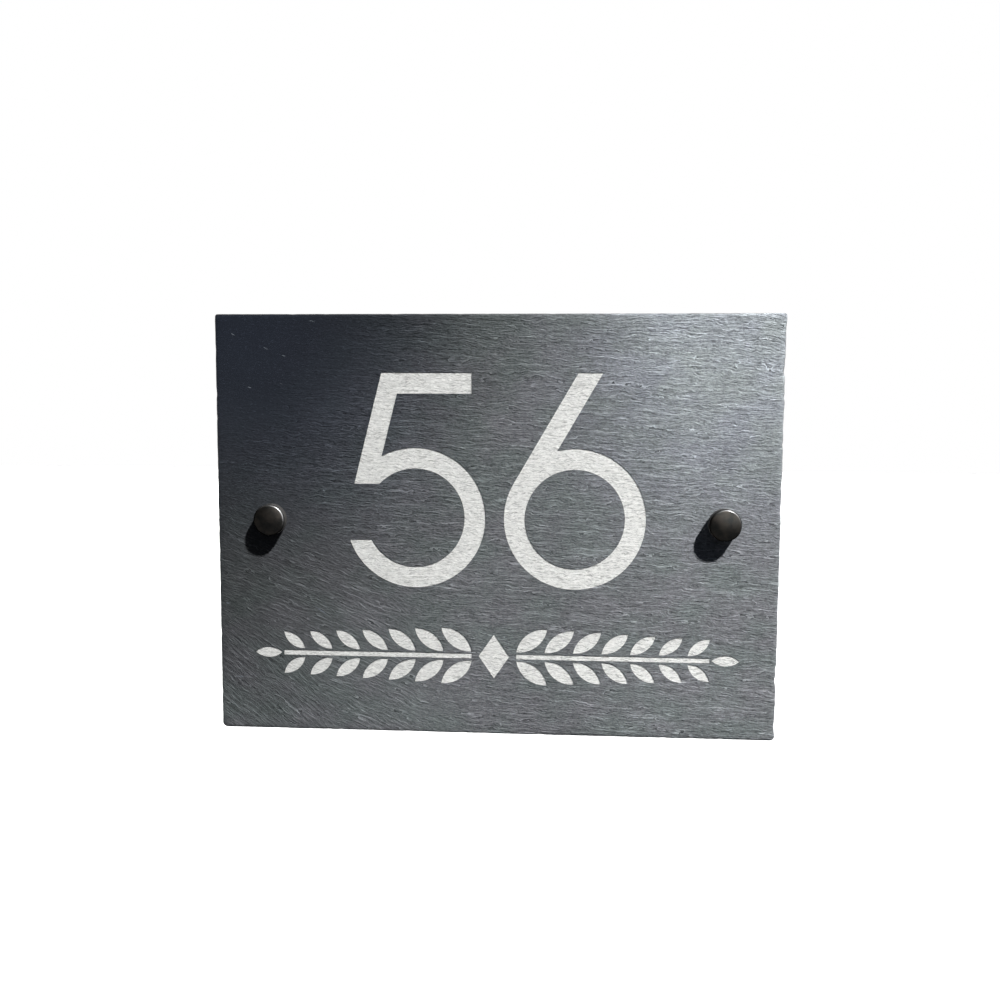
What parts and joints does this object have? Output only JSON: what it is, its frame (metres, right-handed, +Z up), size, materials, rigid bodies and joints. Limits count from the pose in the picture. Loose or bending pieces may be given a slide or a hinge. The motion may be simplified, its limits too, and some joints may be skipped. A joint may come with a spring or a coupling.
{
  "type": "house number plaque",
  "caption": "Flat rectangular slate door plaque, engraved with a plain house number above a leaf sprig, held off the wall by turned metal stand-off fixings with crowned caps.",
  "frame": {"origin": "on the wall plane, midway between the two stand-off fixings", "axes": "+X right along the plaque's long side, +Z up, +Y into the wall, so the plaque faces -Y"},
  "size_m": [0.2, 0.061, 0.15],
  "materials": {
    "slate": "riven natural slate, pale where engraved",
    "cap_metal": "satin dark nickel plate, turned",
    "washer_nylon": "moulded black nylon",
    "barrel_metal": "satin dark nickel plate, turned",
    "screw_steel": "zinc plated steel"
  },
  "bodies": {
    "root": {"slate_plaque": "slate", "caps": "cap_metal", "wall_screws": "screw_steel", "front_washer_left": "washer_nylon", "rear_washer_left": "washer_nylon", "standoff_barrel_left": "barrel_metal", "front_washer_right": "washer_nylon", "rear_washer_right": "washer_nylon", "standoff_barrel_right": "barrel_metal"}
  },
  "joints": []
}
